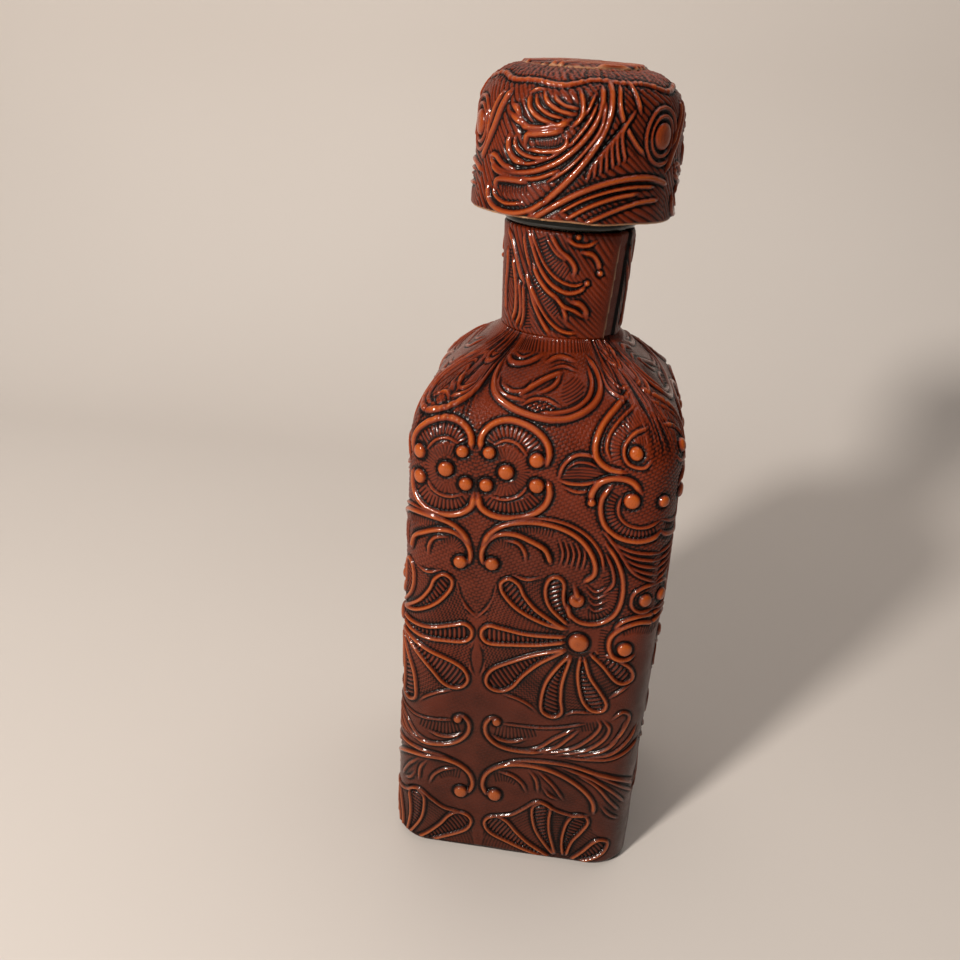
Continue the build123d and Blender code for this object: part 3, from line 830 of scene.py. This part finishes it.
def head_face(v, angle, inset):
    """Points of the head's side and rounded top, inset from the leather's face, and how far it bends.

    v is (rows, 1): the distance up the side, over the edge and in on the top.
    """
    wall = HEAD_TOP - HEAD_EDGE - HEAD_BOTTOM
    bend = HEAD_EDGE * math.pi / 2
    edge = HEAD_EDGE - inset
    turn = np.clip((v - wall) / HEAD_EDGE, 0, math.pi / 2)
    straight = np.clip(v / wall, 0, 1)
    radius = HEAD_BOTTOM_RADIUS + (HEAD_TOP_RADIUS - HEAD_BOTTOM_RADIUS) * straight
    radius = radius - inset - edge * (1 - np.cos(turn)) - np.clip(v - wall - bend, 0, None)
    height = HEAD_BOTTOM + wall * straight + edge * np.sin(turn)
    return np.stack([radius * np.sin(angle), -radius * np.cos(angle), height + 0 * angle], -1), turn


def stopper_side_skin(sheet):
    """The leather round the stopper's head, turned over at the top and cut off at the bottom."""
    around = 2 * math.pi * HEAD_TOP_RADIUS
    columns = int(around / FINE_CELL)
    angle = (np.arange(columns) / columns - 0.5)[None, :] * 2 * math.pi
    u = angle * STOPPER_PRINT_RADIUS
    wall = HEAD_TOP - HEAD_EDGE - HEAD_BOTTOM
    bend = HEAD_EDGE * math.pi / 2
    v = np.arange(0.0, wall + bend + TURNED_OVER, FINE_CELL)[:, None]
    rows, turn = head_face(v, angle, 0.0)
    relief = sheet.read(sheet.height, u + 0 * v, v + 0 * u)
    stand_out = sheet.read(sheet.stand_out, u + 0 * v, v + 0 * u)
    gather = smooth_step(turn, 0.35, 1.1)
    pleat = 0.25 * gather * np.sin(angle * 74 + 3 * lumps(rows, 6.0)) * (0.6 + 0.4 * np.sin(angle * 31))
    sag = 0.45 * lumps(rows, 14.0) + 0.12 * lumps(rows, 4.0)
    seam = (u - u[0, 0]) % (2 * STOPPER_PRINT_RADIUS * math.pi)
    lap = 0.9 * np.clip(1 - seam / 10.0, 0, 1)
    rim = -0.6 * smooth_step(-v, -0.7, 0.0)
    lift = relief * (1 - 0.5 * gather) + pleat + sag + lap + rim
    outside = rows + outward(rows) * lift[..., None]
    circle = np.stack([np.sin(angle), np.cos(angle), 0 * angle], -1)
    wave = 0.25 * lumps(STOPPER_PRINT_RADIUS * circle, 9.0)
    outside[..., 2] += wave * smooth_step(-v, -6.0, 0.0)
    inner_v = np.linspace(0, 1, 24)[:, None] * (wall + bend + TURNED_OVER)
    inside, _ = head_face(inner_v, angle, LEATHER - GLASS_GAP)
    inside[..., 2] += wave * smooth_step(-inner_v, -6.0, 0.0)
    rows = np.concatenate([outside, inside[::-1]])

    def spread(field, rest):
        return np.concatenate([field + 0 * u + 0 * v, np.full((len(inside), columns), rest)])

    raw = smooth_step(-v, -0.6, -0.2) + (seam < 0.6) * smooth_step(-v, -36.0, -34.0)
    values = {
        "relief": spread(relief + 0.5 * pleat, 0.0),
        "stand_out": spread(stand_out + pleat, -0.1),
        "raw_edge": spread(np.clip(raw, 0, 1), 0.7),
    }
    return tube_mesh("stopper_side_skin", rows, values)


def stopper_top_skin(sheet):
    """The leather disc on the stopper's top, with a cut edge."""
    outer = FLAT_RADIUS + 0.6
    columns = 300
    angle = (np.arange(columns) / columns - 0.5)[None, :] * 2 * math.pi
    radii = np.concatenate([np.arange(0.2, outer, FINE_CELL), [outer]])[::-1][:, None]
    edge = outer + 0.35 * lumps(np.stack([12 * np.sin(angle), 12 * np.cos(angle), 0 * angle], -1), 5.0)
    radius = radii * edge / outer
    x, y = radius * np.sin(angle), -radius * np.cos(angle)
    relief = sheet.read(sheet.height, np.clip(x * 1.3, -17, 17), 18.0 + y)
    stand_out = sheet.read(sheet.stand_out, np.clip(x * 1.3, -17, 17), 18.0 + y)
    crown = HEAD_TOP + 0.9 + (DISC_RISE - 0.9) * (1 - (radii / outer) ** 2)
    round_off = -0.7 * smooth_step(radii, outer - 0.9, outer)
    rows = np.stack([x, y, crown + round_off + 0.7 * relief + 0 * angle], -1)
    rows[..., 2] += 0.2 * lumps(rows, 7.0)
    side = rows[:1].copy()
    side[..., 2] = HEAD_TOP - 0.3
    inward = [side * np.array([share, share, 1.0]) for share in (1.0, 0.5, 0.01)]
    floor = np.concatenate(inward)
    rows = np.concatenate([floor[::-1], rows])
    extra = len(floor)

    def spread(field, rest):
        return np.concatenate([np.full((extra, columns), rest), field + 0 * angle + 0 * radii])

    values = {
        "relief": spread(relief, 0.0),
        "stand_out": spread(stand_out, -0.1),
        "raw_edge": spread(0.6 * smooth_step(radii, outer - 0.4, outer), 0.6),
    }
    return tube_mesh("stopper_top_skin", rows, values)


# Materials -----------------------------------------------------------------------------------------
class Nodes:
    """Short names for the node-building calls of one material."""

    def __init__(self, name):
        self.material = bpy.data.materials.new(name)
        self.material.use_nodes = True
        self.tree = self.material.node_tree
        self.tree.nodes.clear()
        self.shader = self.tree.nodes.new("ShaderNodeBsdfPrincipled")
        output = self.tree.nodes.new("ShaderNodeOutputMaterial")
        self.tree.links.new(self.shader.outputs[0], output.inputs["Surface"])

    def node(self, kind, **settings):
        made = self.tree.nodes.new("ShaderNode" + kind)
        for key, value in settings.items():
            setattr(made, key, value)
        return made

    def link(self, source, target):
        self.tree.links.new(source, target)

    def position(self):
        return self.node("TexCoord").outputs["Object"]

    def attribute(self, name):
        return self.node("Attribute", attribute_name=name).outputs["Fac"]

    def noise(self, scale, detail=4.0, roughness=0.55):
        made = self.node("TexNoise")
        made.inputs["Scale"].default_value = scale
        made.inputs["Detail"].default_value = detail
        made.inputs["Roughness"].default_value = roughness
        self.link(self.position(), made.inputs["Vector"])
        return made.outputs["Fac"]

    def cells(self, scale, feature="F1"):
        made = self.node("TexVoronoi", feature=feature)
        made.inputs["Scale"].default_value = scale
        self.link(self.position(), made.inputs["Vector"])
        return made.outputs["Distance"]

    def ramp(self, source, stops):
        made = self.node("ValToRGB")
        ramp = made.color_ramp
        while len(ramp.elements) < len(stops):
            ramp.elements.new(0.5)
        for element, (place, colour) in zip(ramp.elements, stops):
            element.position = place
            element.color = (*colour, 1.0)
        self.link(source, made.inputs["Fac"])
        return made.outputs["Color"]

    def math(self, operation, first, second):
        made = self.node("Math", operation=operation)
        for socket, value in zip(made.inputs, (first, second)):
            if isinstance(value, (int, float)):
                socket.default_value = value
            else:
                self.link(value, socket)
        return made.outputs[0]

    def stretch(self, source, low, high, to_low=0.0, to_high=1.0):
        made = self.node("MapRange")
        for key, value in zip(("From Min", "From Max", "To Min", "To Max"), (low, high, to_low, to_high)):
            made.inputs[key].default_value = value
        self.link(source, made.inputs["Value"])
        return made.outputs["Result"]

    def mix(self, share, first, second, blend="MIX"):
        made = self.node("Mix", data_type="RGBA", blend_type=blend)
        colours = [s for s in made.inputs if s.type == "RGBA"]
        if isinstance(share, (int, float)):
            made.inputs["Factor"].default_value = share
        else:
            self.link(share, made.inputs["Factor"])
        for socket, value in zip(colours, (first, second)):
            if isinstance(value, tuple):
                socket.default_value = (*value, 1.0)
            else:
                self.link(value, socket)
        return [s for s in made.outputs if s.type == "RGBA"][0]

    def bump(self, height, distance, strength=1.0):
        made = self.node("Bump")
        made.inputs["Strength"].default_value = strength
        made.inputs["Distance"].default_value = distance
        self.link(height, made.inputs["Height"])
        self.link(made.outputs[0], self.shader.inputs["Normal"])

    def set(self, **values):
        for key, value in values.items():
            socket = self.shader.inputs[key.replace("_", " ")]
            if isinstance(value, (int, float)):
                socket.default_value = value
            elif isinstance(value, tuple):
                socket.default_value = (*value, 1.0)
            else:
                self.link(value, socket)


def embossed_leather():
    """Antiqued and lacquered leather: rubbed orange on what stands out, nearly black in the hollows."""
    n = Nodes("embossed_leather")
    worn = n.noise(70.0, 5.0)
    level = n.math("ADD", n.math("MULTIPLY", n.attribute("relief"), 0.50), n.attribute("stand_out"))
    level = n.math("ADD", level, n.stretch(worn, 0.3, 0.7, -0.10, 0.12))
    upper = n.ramp(n.stretch(level, -0.50, 1.0), [
        (0.0, (0.003, 0.001, 0.001)),
        (0.18, (0.012, 0.002, 0.001)),
        (0.33, (0.120, 0.014, 0.002)),
        (0.52, (0.165, 0.019, 0.003)),
        (0.72, (0.225, 0.032, 0.004)),
        (0.96, (0.350, 0.066, 0.007)),
    ])
    lower = n.ramp(n.stretch(level, -0.50, 1.0), [
        (0.0, (0.003, 0.001, 0.001)),
        (0.20, (0.012, 0.003, 0.001)),
        (0.35, (0.062, 0.010, 0.003)),
        (0.54, (0.086, 0.014, 0.004)),
        (0.76, (0.140, 0.026, 0.005)),
        (0.96, (0.260, 0.055, 0.009)),
    ])
    height = n.node("SeparateXYZ")
    n.link(n.position(), height.inputs[0])
    blotch = n.stretch(n.noise(22.0, 3.0), 0.3, 0.7, -0.035, 0.035)
    rise = n.math("ADD", height.outputs["Z"], blotch)
    colour = n.mix(n.stretch(rise, 0.04, 0.17), lower, upper)
    stains = n.stretch(n.noise(30.0, 4.0), 0.45, 0.75, 0.0, 0.45)
    colour = n.mix(stains, colour, (0.45, 0.30, 0.26), "MULTIPLY")
    colour = n.mix(n.attribute("raw_edge"), colour, (0.46, 0.25, 0.13))
    rough = n.stretch(n.noise(260.0, 3.0), 0.3, 0.7, 0.32, 0.50)
    grain = n.math("ADD", n.cells(2300.0), n.math("MULTIPLY", n.noise(1400.0, 4.0), 0.8))
    n.bump(grain, 0.00010)
    # Clear coat thin in the hollows and thick on what stands out: partly dust that dulls the lacquer in the
    # hollows, partly painted shade that takes the reflection out of the hollows.
    lacquer_dust_and_painted_shade = n.stretch(level, -0.25, 0.45, 0.15, 0.75)
    n.set(Base_Color=colour, Roughness=rough, Specular_IOR_Level=0.12)
    n.set(Coat_Weight=lacquer_dust_and_painted_shade, Coat_Roughness=0.11, Coat_IOR=1.4)
    return n.material


def plain_leather():
    """Flat brown leather with a fine grain."""
    n = Nodes("plain_leather")
    colour = n.ramp(n.noise(90.0, 6.0), [(0.3, (0.045, 0.018, 0.010)), (0.7, (0.105, 0.042, 0.022))])
    n.bump(n.math("ADD", n.cells(1900.0), n.noise(900.0, 5.0)), 0.00012)
    n.set(Base_Color=colour, Roughness=n.stretch(n.noise(300.0), 0.3, 0.7, 0.6, 0.8))
    return n.material


def dark_glass():
    """Nearly black bottle glass."""
    n = Nodes("dark_glass")
    colour = n.ramp(n.noise(30.0, 2.0), [(0.3, (0.008, 0.010, 0.008)), (0.7, (0.014, 0.016, 0.012))])
    n.bump(n.noise(70.0, 2.0), 0.0002, 0.3)
    n.set(Base_Color=colour, Roughness=n.stretch(n.noise(120.0), 0.3, 0.7, 0.05, 0.12), IOR=1.52)
    return n.material


def natural_cork():
    n = Nodes("natural_cork")
    pits = n.stretch(n.cells(420.0), 0.10, 0.35)
    tone = n.ramp(n.noise(160.0, 6.0), [(0.3, (0.36, 0.20, 0.10)), (0.7, (0.58, 0.38, 0.21))])
    colour = n.mix(pits, (0.13, 0.06, 0.03), tone)
    n.bump(n.math("ADD", pits, n.noise(700.0, 4.0)), 0.0003)
    n.set(Base_Color=colour, Roughness=0.85)
    return n.material


def turned_wood():
    n = Nodes("turned_wood")
    grain = n.node("TexWave", wave_type="RINGS")
    grain.inputs["Scale"].default_value = 60.0
    grain.inputs["Distortion"].default_value = 3.0
    n.link(n.position(), grain.inputs["Vector"])
    colour = n.ramp(grain.outputs["Fac"], [(0.2, (0.34, 0.20, 0.10)), (0.8, (0.50, 0.33, 0.18))])
    n.bump(grain.outputs["Fac"], 0.0001)
    n.set(Base_Color=colour, Roughness=0.6)
    return n.material


def studio_wall():
    n = Nodes("studio_wall")
    colour = n.ramp(n.noise(2.0, 2.0), [(0.3, (0.60, 0.55, 0.51)), (0.7, (0.63, 0.58, 0.54))])
    n.set(Base_Color=colour, Roughness=0.75)
    return n.material


# Pieces --------------------------------------------------------------------------------------------
def cover(piece, node, body, material):
    """Puts a piece in place of a CAD node."""
    piece.data.materials.append(material)
    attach(piece, body)
    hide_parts(node)


leather = embossed_leather()
flat_leather = plain_leather()
pattern = stopper_pattern()
cover(body_skin(body_pattern()), "body_leather", "bottle", leather)
cover(neck_skin(neck_pattern()), "neck_leather", "bottle", leather)
cover(stopper_side_skin(pattern), "cap_side_leather", "stopper", leather)
cover(stopper_top_skin(pattern), "cap_top_leather", "stopper", leather)

for node, material in (
    ("glass_bottle", dark_glass()),
    ("cork", natural_cork()),
    ("cap_core", turned_wood()),
    ("cap_lining", flat_leather),
    ("base_leather", flat_leather),
):
    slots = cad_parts[node].data.materials
    slots.clear()
    slots.append(material)


# Studio --------------------------------------------------------------------------------------------
def backdrop():
    """A floor that curves up into a wall behind the object."""
    floor_front, floor_back, rise, half = -1600.0, 300.0, 260.0, 1800.0
    profile = [(floor_front, 0.0), (-600.0, 0.0), (0.0, 0.0)]
    for angle in np.linspace(0, math.pi / 2, 17):
        profile.append((floor_back + rise * math.sin(angle), rise * (1 - math.cos(angle))))
    profile.append((floor_back + rise, 1500.0))
    verts = [(x * MM, y * MM, z * MM) for x in (-half, half) for y, z in profile]
    count = len(profile)
    faces = [(i, count + i, count + i + 1, i + 1) for i in range(count - 1)]
    mesh = bpy.data.meshes.new("studio_floor")
    mesh.from_pydata(verts, [], faces)
    mesh.polygons.foreach_set("use_smooth", [True] * len(faces))
    mesh.materials.append(studio_wall())
    floor = bpy.data.objects.new("studio_floor", mesh)
    bpy.context.scene.collection.objects.link(floor)


def area_light(name, place, target, size, power, colour):
    light = bpy.data.lights.new(name, "AREA")
    light.shape = "DISK"
    light.size = size
    light.energy = power
    light.color = colour
    lamp = bpy.data.objects.new(name, light)
    bpy.context.scene.collection.objects.link(lamp)
    lamp.location = place
    aim = Vector(target) - Vector(place)
    lamp.rotation_mode = "QUATERNION"
    lamp.rotation_quaternion = aim.to_track_quat("-Z", "Y")


def studio():
    backdrop()
    area_light("key", (-0.60, -0.86, 0.66), (0.0, 0.0, 0.13), 0.15, 17.5, (1.0, 0.94, 0.87))
    area_light("top_fill", (0.1, 0.3, 1.4), (0.0, 0.2, 0.0), 1.2, 6.5, (1.0, 0.97, 0.94))
    world = bpy.data.worlds.new("studio")
    world.use_nodes = True
    background = world.node_tree.nodes["Background"]
    background.inputs["Color"].default_value = (1.0, 0.94, 0.88, 1.0)
    background.inputs["Strength"].default_value = 0.10
    bpy.context.scene.world = world
    bpy.context.scene.view_settings.view_transform = "Standard"


def camera():
    """A camera above the object, a little to its right, and not quite level."""
    place = (0.0112, -0.3002, 0.2646)
    azimuth, pitch, roll = (math.radians(a) for a in (6.44, 24.53, 3.58))
    data = bpy.data.cameras.new("camera")
    data.sensor_width = 36.0
    data.lens = 35.87
    data.clip_start, data.clip_end = 0.01, 20.0
    view = bpy.data.objects.new("camera", data)
    bpy.context.scene.collection.objects.link(view)
    view.location = place
    turn = Matrix.Rotation(azimuth, 3, "Z") @ Matrix.Rotation(math.pi / 2 - pitch, 3, "X")
    view.rotation_mode = "QUATERNION"
    view.rotation_quaternion = (turn @ Matrix.Rotation(roll, 3, "Z")).to_quaternion()
    bpy.context.scene.camera = view


studio()
camera()
